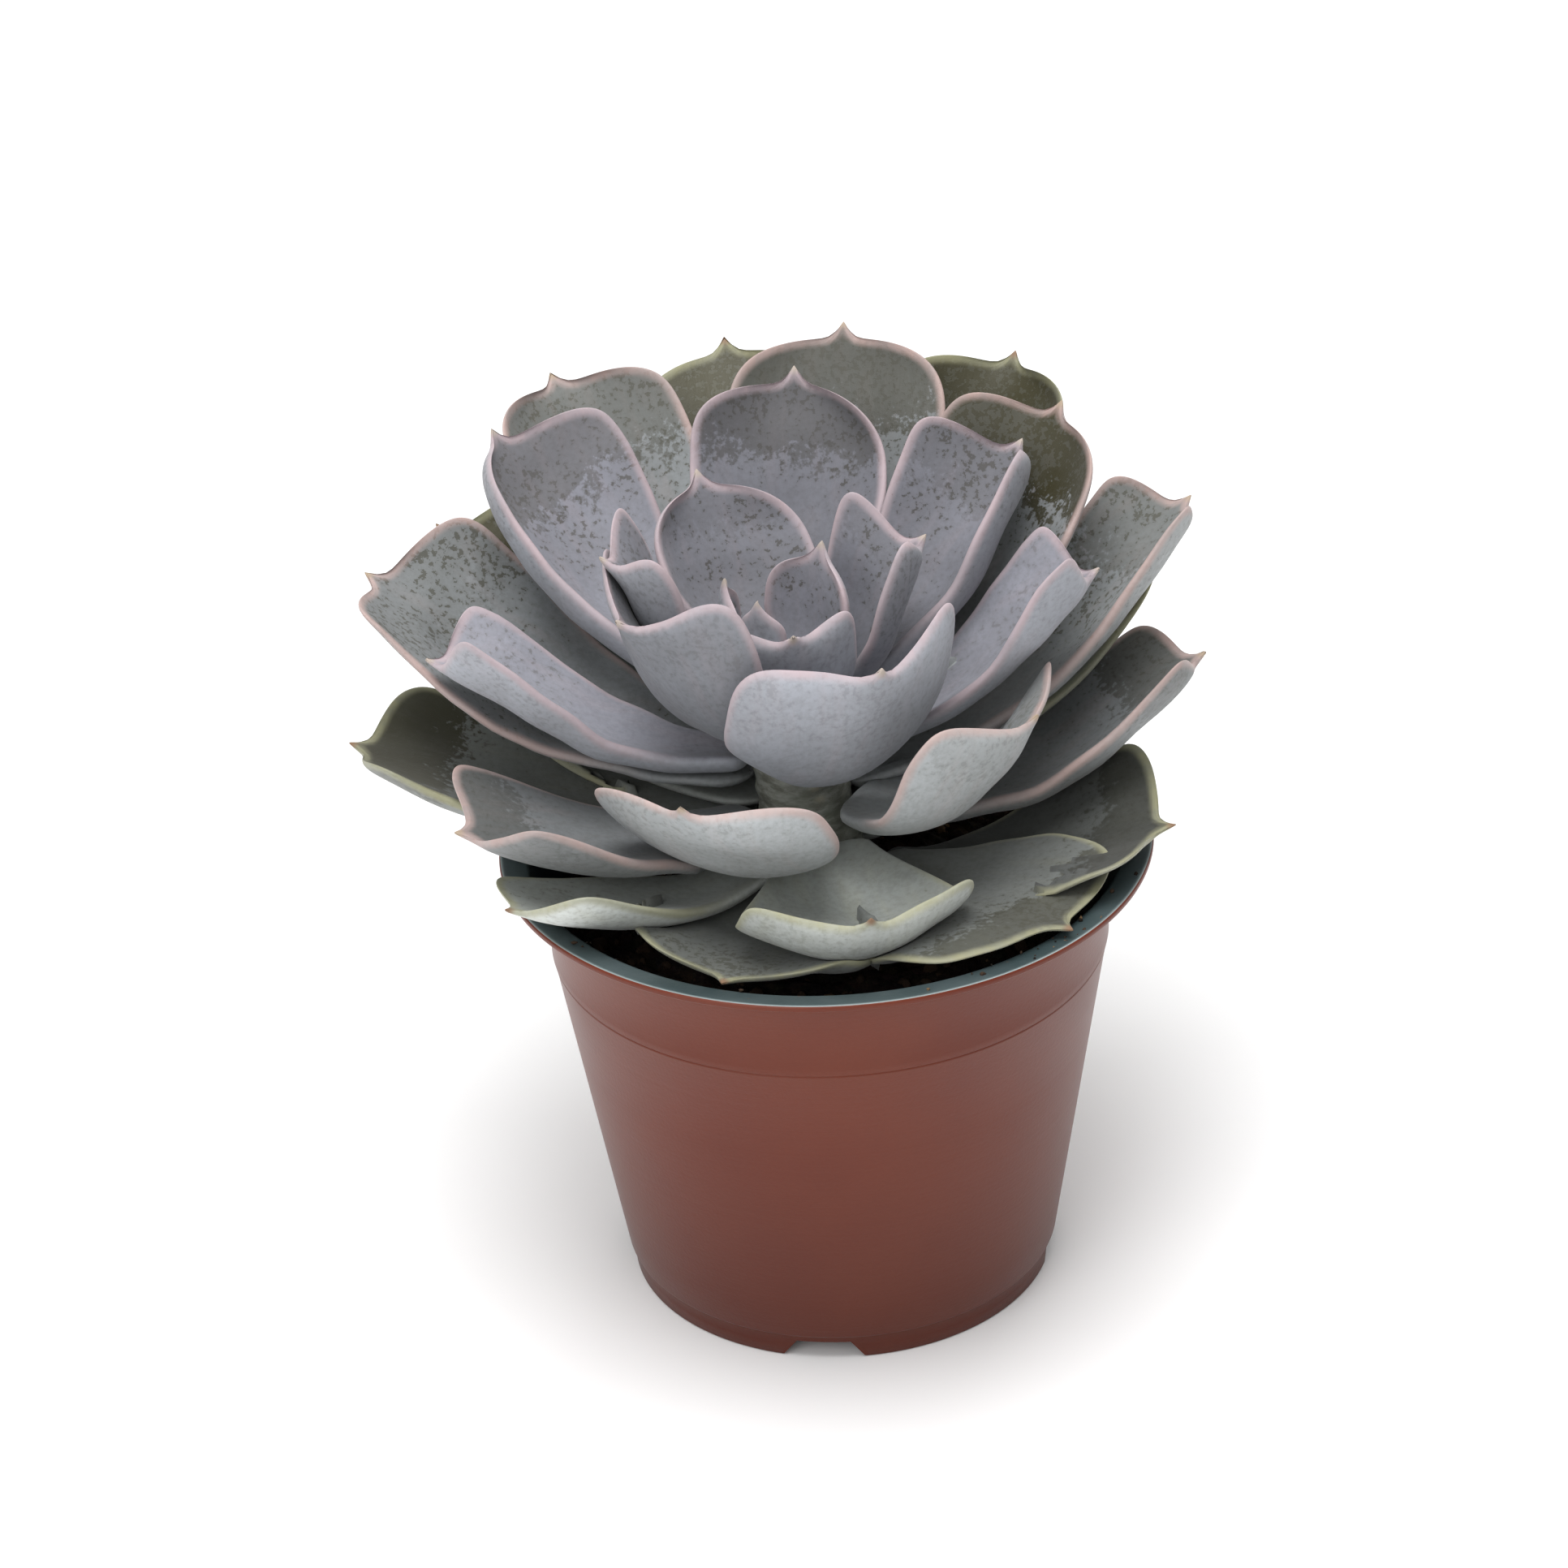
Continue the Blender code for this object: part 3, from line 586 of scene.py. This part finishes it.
def leaf_rings(leaf, number):
    """The leaf's skin as rings of points, its root and tip, and each point's place on the blade."""
    along = ring_places(leaf)
    turn = 2 * np.pi * np.arange(LEAF_SEGMENTS) / LEAF_SEGMENTS
    centre, tangent, leftward, upward = midrib(leaf, along)
    sideways, raised, lift = leaf_section(leaf, along, turn)
    points = (centre[:, None, :] + sideways[..., None] * leftward
              + raised[..., None] * upward[:, None, :])
    points[..., 2] += lift

    # The blade's last few millimetres draw out into the point.
    to_end = (1 - along)[:, None] * chord(leaf) * MM
    drawn = smooth(1 - to_end / POINT_REACH) * np.exp(-(np.abs(sideways) / POINT_HALF_WIDTH) ** 1.3)
    points += POINT_LENGTH * drawn[..., None] * tangent[-1]
    points += ripple(points, number)[..., None] * upward[:, None, :]

    tip = centre[-1] + POINT_LENGTH * tangent[-1]
    tip = tip + (points[-1].mean(axis=0) - centre[-1] - POINT_LENGTH * tangent[-1]) * 0.2
    place = {
        "along": np.repeat(along[:, None], LEAF_SEGMENTS, 1),
        "upper": np.repeat(smooth(0.5 + 0.5 * np.sin(turn) / 0.25)[None, :], len(along), 0),
        "sideways": sideways,
        "distance": np.repeat((along * chord(leaf) * MM)[:, None], LEAF_SEGMENTS, 1),
    }
    return points, centre[0], tip, place


def ripple(points, number):
    """Gentle unevenness of the blade: a few slow waves, different on every leaf."""
    rng = np.random.default_rng(100 + number)
    height = np.zeros(points.shape[:-1])
    for wavelength in (34, 26, 19, 14, 10):
        direction = rng.normal(size=3)
        direction /= np.linalg.norm(direction)
        phase = rng.uniform(0, 2 * np.pi)
        turns = points @ direction * 2 * np.pi / (wavelength * MM)
        height += 0.010 * wavelength * MM * np.sin(turns + phase)
    return height


def rings_tree(points):
    rings, segments, _ = points.shape
    faces = []
    for i in range(rings - 1):
        for j in range(segments):
            k = (j + 1) % segments
            faces.append((i * segments + j, i * segments + k, (i + 1) * segments + k,
                          (i + 1) * segments + j))
    return BVHTree.FromPolygons([Vector(p) for p in points.reshape(-1, 3)], faces)


def give_way(points, tree, low, high):
    """Bend a leaf's blade away from a younger leaf, between low and high, that presses on it."""
    segments = points.shape[1]
    mirror = (-np.arange(segments)) % segments
    to_look_at = ((points > low - MM) & (points < high + MM)).all(axis=2)
    for _ in range(PRESS_PASSES):
        push = np.zeros_like(points)
        for i, j in np.argwhere(to_look_at):
            point = Vector(points[i, j])
            near, normal, _, _ = tree.find_nearest(point, FELT_WITHIN)
            if near is not None and (point - near).dot(normal) < CLEAR:
                push[i, j] = near + normal * MOVED_TO - point
        if not push.any():
            return points
        size = np.linalg.norm(push, axis=2)
        other = push[:, mirror]
        push = np.where((np.linalg.norm(other, axis=2) > size)[..., None], other, push)
        spread = push.copy()
        for _ in range(2):
            spread = (spread + np.roll(spread, 1, 1) + np.roll(spread, -1, 1)) / 3
            spread[1:-1] = (spread[:-2] + spread[1:-1] + spread[2:]) / 3
        keep = np.linalg.norm(push, axis=2) > np.linalg.norm(spread, axis=2)
        moved = np.where(keep[..., None], push, spread)
        points = points + moved
        to_look_at = np.linalg.norm(moved, axis=2) > 0.05 * GAP
    return points


def margin_distance(points, tip):
    """How far each point of the skin is from the leaf's outline."""
    segments = points.shape[1]
    outline = np.concatenate([points[:, 0], points[:, segments // 2], tip[None, :]])
    tree = KDTree(len(outline))
    for index, point in enumerate(outline):
        tree.insert(point, index)
    tree.balance()
    return np.array([tree.find(point)[2] for point in points.reshape(-1, 3)])


def make_leaves(axis, materials):
    shapes = [leaf_rings(leaf, number) for number, leaf in enumerate(LEAVES, start=1)]
    rings = [shape[0] for shape in shapes]
    for younger in range(len(LEAVES) - 1, 0, -1):
        tree = rings_tree(rings[younger])
        low, high = rings[younger].min((0, 1)), rings[younger].max((0, 1))
        for older in range(younger):
            apart = (rings[older].min((0, 1)) > high) | (rings[older].max((0, 1)) < low)
            if not apart.any():
                rings[older] = give_way(rings[older], tree, low, high)
    for number, leaf in enumerate(LEAVES, start=1):
        points = rings[number - 1]
        _, root, tip, place = shapes[number - 1]
        make_leaf(number, leaf, points, root, tip, place, axis, materials[leaf.colour])


def make_leaf(number, leaf, points, root, tip, place, axis, material):
    name = f"leaf_{number:02d}"
    mesh = grid_mesh(name, points, root, tip)
    mesh.transform(Matrix.Translation(axis))
    flat = {key: values.ravel() for key, values in place.items()}
    margin = margin_distance(points, tip)
    to_tip = np.linalg.norm(points.reshape(-1, 3) - tip, axis=1)
    ends = (0.0, 1.0)
    store(mesh, "along", with_ends(flat["along"], ends))
    store(mesh, "upper", with_ends(flat["upper"], (0.5, 0.5)))
    store(mesh, "margin", with_ends(margin, (0.01, 0.0)))
    store(mesh, "tip_distance", with_ends(to_tip, (0.05, 0.0)))
    blade = np.stack([flat["sideways"], flat["distance"], np.full(len(margin), number * 0.1)], 1)
    blade = np.concatenate([[blade[0]], blade, [blade[-1]]])
    store(mesh, "blade", blade)
    count = len(margin) + 2
    tone_and_painted_light, wear, specks = leaf_state(number, leaf)
    store(mesh, "tone_and_painted_light", np.full(count, tone_and_painted_light))
    store(mesh, "wear", np.full(count, wear))
    store(mesh, "specks", np.full(count, specks))
    add_piece(f"{name}_skin", mesh, leaf.colour, [material], name)


def with_ends(values, ends):
    return np.concatenate([[ends[0]], values, [ends[1]]])


def leaf_state(number, leaf):
    """How bright a leaf is (its own tone and painted light and shade), how worn its tip is and how
    speckled it is.
    """
    rng = np.random.default_rng(number)
    at_back = 20 < leaf.azimuth < 160
    # The listed tones are painted light and shade as well as each leaf's own tone; a small random
    # spread is added.
    tone_and_painted_light = LEAF_TONES_AND_PAINTED_LIGHT.get(number, 1.0) * rng.uniform(0.96, 1.04)
    wear = WORN_TIPS.get(number, rng.uniform(0.0, 0.25))
    specks = rng.uniform(0.85, 1.0) if at_back else rng.uniform(0.3, 0.7)
    return tone_and_painted_light, wear, specks


# ---------------------------------------------------------------- pot, soil and stem

def wall_radius(height):
    part = (height - STEP_HEIGHT) / (SEAM_HEIGHT - STEP_HEIGHT)
    return STEP_RADIUS + part * (SEAM_RADIUS - STEP_RADIUS)


def collar(top, inset, rim_radius, points=14):
    foot = SEAM_HEIGHT + 0.8 * MM
    bottom_radius = SEAM_RADIUS + 0.3 * MM
    top_radius = rim_radius - LIP_WIDTH + 0.9 * MM
    outline = []
    for i in range(points + 1):
        part = i / points
        flare = 1 - math.cos(part * math.pi / 2)
        outline.append((bottom_radius + flare * (top_radius - bottom_radius) - inset,
                        foot + part * (top - foot)))
    return outline


def pot_profile(rim_radius, height):
    """The pot's section, from the middle of its floor over the lip to the underside.

    Returns the points and how many of them belong to the dark inside.
    """
    top = height - 2.7 * MM
    floor_under = STEP_HEIGHT - WALL
    foot_inner = FOOT_RADIUS - FOOT_WALL
    floor_radius = wall_radius(STEP_HEIGHT) - WALL
    inside = [
        (0, STEP_HEIGHT),
        (10 * MM, STEP_HEIGHT),
        (floor_radius - MM, STEP_HEIGHT),
        (floor_radius, STEP_HEIGHT + MM),
        (SEAM_RADIUS - WALL, SEAM_HEIGHT),
    ]
    inside += collar(top, WALL, rim_radius)[1:]
    inside += [
        (rim_radius - LIP_WIDTH - 0.02 * MM, height - 1.6 * MM),
        (rim_radius - LIP_WIDTH + 0.25 * MM, height - 0.95 * MM),
        (rim_radius - LIP_WIDTH + 0.8 * MM, height - 0.62 * MM),
        (rim_radius - 1.2 * MM, height - 0.12 * MM),
        (rim_radius - 0.55 * MM, height),
        (rim_radius - 0.25 * MM, height - 0.06 * MM),
    ]
    outside = [
        (rim_radius - 0.06 * MM, height - 0.22 * MM),
        (rim_radius, height - 0.45 * MM),
        (rim_radius, height - 0.95 * MM),
        (rim_radius - 0.12 * MM, height - 1.18 * MM),
        (rim_radius - 0.5 * MM, height - 1.32 * MM),
        (rim_radius - LIP_WIDTH + 2.2 * MM, height - 1.9 * MM),
    ]
    outside += collar(top, 0, rim_radius)[::-1]
    ridge = [(0.06, 0.45), (0.14, 0.25), (0.14, 0.1), (0.0, -0.1)]
    outside += [(SEAM_RADIUS + out * MM, SEAM_HEIGHT + up * MM) for out, up in ridge]
    outside += [(wall_radius(level), level) for level in (50 * MM, 30 * MM, 12 * MM)]
    outside += [
        (STEP_RADIUS + 0.06 * MM, STEP_HEIGHT + 0.35 * MM),
        (STEP_RADIUS - 0.05 * MM, STEP_HEIGHT + 0.08 * MM),
        (STEP_RADIUS - 0.35 * MM, STEP_HEIGHT - 0.05 * MM),
        (FOOT_RADIUS + 0.3 * MM, STEP_HEIGHT - 0.25 * MM),
        (FOOT_RADIUS + 0.1 * MM, STEP_HEIGHT - 0.7 * MM),
        (FOOT_RADIUS, 2.5 * MM),
        (FOOT_RADIUS, 0.3 * MM),
        (FOOT_RADIUS - 0.3 * MM, 0),
        (foot_inner + 0.2 * MM, 0),
        (foot_inner, 0.2 * MM),
        (foot_inner, floor_under),
        (12 * MM, floor_under),
        (0, floor_under),
    ]
    return inside + outside, len(inside)


def lip_edge(radius, level, rim_radius, height):
    """1 on the lip's outer edge, falling to 0 half a millimetre from it."""
    near = max(0.0, 1 - abs(radius - rim_radius + 0.3 * MM) / (0.5 * MM))
    return near * (level > height - MM)


def make_pot(axis):
    low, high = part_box("pot")
    rim_radius = (high[0] - low[0]) / 2
    height = high[2]
    profile, dark = pot_profile(rim_radius, height)
    turns = 2 * np.pi * np.arange(POT_STEPS) / POT_STEPS
    rings = []
    edge = []
    for radius, level in profile[1:-1]:
        x, y = radius * np.cos(turns), radius * np.sin(turns)
        rings.append(np.stack([x, y, np.full(POT_STEPS, level)], 1))
        edge += [lip_edge(radius, level, rim_radius, height)] * POT_STEPS
    mesh = grid_mesh("pot_shell", np.array(rings), (0, 0, profile[0][1]), (0, 0, profile[-1][1]))
    mesh.transform(Matrix.Translation(axis))
    for polygon in mesh.polygons:
        ring = max(min(v - 1 for v in polygon.vertices) // POT_STEPS, 0)
        polygon.material_index = 0 if ring >= dark - 2 else 1
    store(mesh, "edge", with_ends(np.array(edge, dtype=float), (0, 0)))
    materials = [pot_outside_material(), pot_inside_material()]
    pot = add_piece("pot_shell", mesh, "pot_plastic", materials, "pot")
    cut_pot(pot, axis)
    return rim_radius, height


def add_notch(bm, azimuth, place):
    """A tapered block across the foot ring."""
    notch = bmesh.ops.create_cube(bm, size=1.0)["verts"]
    for vert in notch:
        width = NOTCH_WIDTH if vert.co.z < 0 else NOTCH_TOP_WIDTH
        level = NOTCH_HEIGHT if vert.co.z > 0 else -MM
        vert.co = Vector((vert.co.x * 8 * MM, vert.co.y * width, level))
    bmesh.ops.rotate(bm, verts=notch, matrix=Matrix.Rotation(azimuth, 3, "Z"))
    bmesh.ops.translate(bm, verts=notch, vec=place)


def add_drain(bm, place):
    drain = bmesh.ops.create_cone(bm, cap_ends=True, segments=40, radius1=DRAIN_RADIUS,
                                  radius2=DRAIN_RADIUS, depth=4 * WALL)["verts"]
    bmesh.ops.translate(bm, verts=drain, vec=place)


def cut_pot(pot, axis):
    """Cut the notches and the drain holes, then keep the result as the pot's own mesh."""
    bm = bmesh.new()
    level = Vector((0, 0, STEP_HEIGHT - WALL / 2))
    for i in range(NOTCHES):
        azimuth = math.radians(FIRST_NOTCH + i * 360 / NOTCHES)
        direction = Vector((math.cos(azimuth), math.sin(azimuth), 0))
        add_notch(bm, azimuth, axis + FOOT_RADIUS * direction)
        add_drain(bm, axis + DRAIN_CIRCLE * direction + level)
    mesh = bpy.data.meshes.new("cutter")
    bm.to_mesh(mesh)
    bm.free()
    cutter = bpy.data.objects.new("cutter", mesh)
    bpy.context.scene.collection.objects.link(cutter)
    boolean = pot.modifiers.new("cut", "BOOLEAN")
    boolean.operation = "DIFFERENCE"
    boolean.solver = "EXACT"
    boolean.object = cutter
    depsgraph = bpy.context.evaluated_depsgraph_get()
    result = bpy.data.meshes.new_from_object(pot.evaluated_get(depsgraph))
    pot.modifiers.clear()
    pot.data = result
    pot.data.set_sharp_from_angle(angle=math.radians(50))
    bpy.data.objects.remove(cutter, do_unlink=True)


def soil_top(edge, turns):
    """Rings of the compost's top, roughened by waves in random directions."""
    rng = np.random.default_rng(7)
    rings = []
    for part in np.linspace(0.02, 1, 60):
        radius = part * edge
        x, y = radius * np.cos(turns), radius * np.sin(turns)
        level = SOIL_TOP + SOIL_MOUND * np.clip((1 - part) / 0.6, 0, 1)
        top = np.full(len(turns), level)
        for wavelength, size in SOIL_WAVES:
            for _ in range(3):
                heading = rng.uniform(0, 2 * np.pi)
                phase = rng.uniform(0, 2 * np.pi)
                reach = (x * math.cos(heading) + y * math.sin(heading)) / (wavelength * MM)
                top += size * MM * np.sin(2 * np.pi * reach + phase) * 0.6
        rings.append(np.stack([x, y, top], 1))
    return rings


def make_soil(axis):
    """The compost: an uneven crumbly top on a smooth block that fills the pot."""
    clearance = WALL + GAP
    edge = SEAM_RADIUS - clearance
    turns = 2 * np.pi * np.arange(SOIL_SEGMENTS) / SOIL_SEGMENTS
    rings = soil_top(edge, turns)
    below = (
        (edge, SEAM_HEIGHT + 0.8 * MM),
        (edge - 0.1 * MM, SEAM_HEIGHT),
        (wall_radius(STEP_HEIGHT) - clearance - 0.2 * MM, STEP_HEIGHT + GAP),
    )
    for radius, level in below:
        x, y = radius * np.cos(turns), radius * np.sin(turns)
        rings.append(np.stack([x, y, np.full(SOIL_SEGMENTS, level)], 1))
    rings = np.array(rings)
    centre = rings[0].mean(axis=0)
    mesh = grid_mesh("soil_block", rings[:, ::-1], centre, (0, 0, STEP_HEIGHT + GAP))
    mesh.transform(Matrix.Translation(axis))
    add_piece("soil_block", mesh, "soil", [soil_material()], "soil")


def crumb_places(rng, rim_radius, rim_height):
    """Radius, turn, height and size of every loose grain."""
    edge = SEAM_RADIUS - WALL - 1.5 * MM
    places = []
    for _ in range(CRUMBS):
        radius = edge * math.sqrt(rng.uniform(0.04, 1))
        turn = rng.uniform(0, 2 * np.pi)
        size = (0.35 + 1.1 * rng.uniform() ** 3) * MM
        places.append((radius, turn, SOIL_TOP + 0.3 * MM + 0.4 * size, size))
    for _ in range(LIP_CRUMBS):
        turn = math.radians(rng.normal(-48, 9) if rng.uniform() < 0.6 else rng.uniform(-150, 0))
        size = (0.16 + 0.3 * rng.uniform() ** 2) * MM
        radius = rim_radius - rng.uniform(1.2, LIP_WIDTH / MM - 0.6) * MM
        places.append((radius, turn, rim_height - 0.35 * MM + 0.5 * size, size))
    return places


def add_crumb(bm, rng, place, size):
    """A dented, stretched grain. Returns its kind, from 0 to 1, and how many points it has."""
    made = bmesh.ops.create_icosphere(bm, subdivisions=2, radius=1.0)["verts"]
    stretch = rng.uniform(0.6, 1.4, 3)
    dents = rng.normal(size=(4, 3))
    kind = rng.uniform()
    for vert in made:
        bulge = 1 + 0.16 * sum(math.sin(2.2 * vert.co.dot(Vector(dent))) for dent in dents)
        vert.co = Vector(vert.co[k] * stretch[k] * bulge for k in range(3)) * size
    bmesh.ops.rotate(bm, verts=made, matrix=Matrix.Rotation(rng.uniform(0, 6), 3, "Z"))
    bmesh.ops.translate(bm, verts=made, vec=place)
    return kind, len(made)


def make_crumbs(axis, rim_radius, rim_height):
    """Loose grains: most on the soil, a few on the pot's lip, mainly at its front right."""
    rng = np.random.default_rng(11)
    bm = bmesh.new()
    kinds = []
    for radius, turn, level, size in crumb_places(rng, rim_radius, rim_height):
        place = axis + Vector((radius * math.cos(turn), radius * math.sin(turn), level))
        kind, count = add_crumb(bm, rng, place, size)
        kinds += [kind] * count
    mesh = bpy.data.meshes.new("soil_crumbs")
    bm.to_mesh(mesh)
    bm.free()
    store(mesh, "kind", np.array(kinds))
    add_piece("soil_crumbs", mesh, "soil", [crumb_material()])


def make_stem(axis):
    """The leaning stem, with a slightly lumpy skin."""
    rings, segments = 60, 64
    turns = 2 * np.pi * np.arange(segments) / segments
    points = []
    for part in (1 - np.cos(np.linspace(0, np.pi, rings + 2)[1:-1])) / 2:
        height = STEM_FOOT.z + part * (STEM_TOP.z - STEM_FOOT.z)
        radius = stem_radius(height) + 0.25 * MM * np.sin(part * 70 + 2 * np.sin(3 * turns))
        centre = stem_point(height)
        points.append(np.stack([centre.x + radius * np.cos(turns), centre.y + radius * np.sin(turns),
                                np.full(segments, centre.z)], 1))
    mesh = grid_mesh("stem_bark", np.array(points), STEM_FOOT, STEM_TOP)
    mesh.transform(Matrix.Translation(axis))
    add_piece("stem_bark", mesh, "stem", [stem_material()], "stem")


# ---------------------------------------------------------------- stage

def make_floor():
    bm = bmesh.new()
    bmesh.ops.create_grid(bm, x_segments=4, y_segments=4, size=3.0)
    mesh = bpy.data.meshes.new("floor")
    bm.to_mesh(mesh)
    bm.free()
    mesh.materials.append(floor_material())
    floor = bpy.data.objects.new("floor", mesh)
    bpy.context.scene.collection.objects.link(floor)


def make_light(name, position, size, power):
    light = bpy.data.lights.new(name, "AREA")
    light.shape = "DISK"
    light.size = size
    light.energy = power
    lamp = bpy.data.objects.new(name, light)
    lamp.location = position
    lamp.rotation_euler = (Vector(AIM) - Vector(position)).to_track_quat("-Z", "Y").to_euler()
    bpy.context.scene.collection.objects.link(lamp)


def make_world():
    world = bpy.data.worlds.new("studio")
    world.use_nodes = True
    background = world.node_tree.nodes["Background"]
    background.inputs["Color"].default_value = (1.0, 1.0, 1.0, 1.0)
    background.inputs["Strength"].default_value = WORLD_STRENGTH
    bpy.context.scene.world = world
    bpy.context.scene.view_settings.view_transform = "Standard"


def make_camera(axis):
    camera_data = bpy.data.cameras.new("camera")
    camera_data.lens = CAMERA_LENS
    camera_data.sensor_width = 36.0
    camera = bpy.data.objects.new("camera", camera_data)
    tilt = Matrix.Rotation(math.radians(90 - CAMERA_DOWN), 4, "X")
    roll = Matrix.Rotation(math.radians(CAMERA_ROLL), 4, "Z")
    camera.matrix_world = Matrix.Translation(axis + CAMERA_PLACE) @ tilt @ roll
    bpy.context.scene.collection.objects.link(camera)
    bpy.context.scene.camera = camera


def make_stage(axis):
    make_floor()
    make_world()
    for name, position, size, power in LIGHTS:
        make_light(name, position, size, power)
    make_camera(axis)


def main():
    low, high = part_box("pot")
    axis = Vector(((low[0] + high[0]) / 2, (low[1] + high[1]) / 2, 0))
    make_stage(axis)
    rim_radius, rim_height = make_pot(axis)
    make_soil(axis)
    make_crumbs(axis, rim_radius, rim_height)
    make_stem(axis)
    make_leaves(axis, make_leaf_materials())


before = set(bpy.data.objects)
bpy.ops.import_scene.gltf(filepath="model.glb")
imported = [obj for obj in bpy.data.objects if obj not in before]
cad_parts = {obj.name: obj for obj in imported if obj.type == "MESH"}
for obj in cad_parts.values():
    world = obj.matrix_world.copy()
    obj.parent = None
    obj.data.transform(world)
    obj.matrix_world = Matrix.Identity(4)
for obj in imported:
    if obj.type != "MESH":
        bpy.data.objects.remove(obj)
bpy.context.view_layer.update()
main()
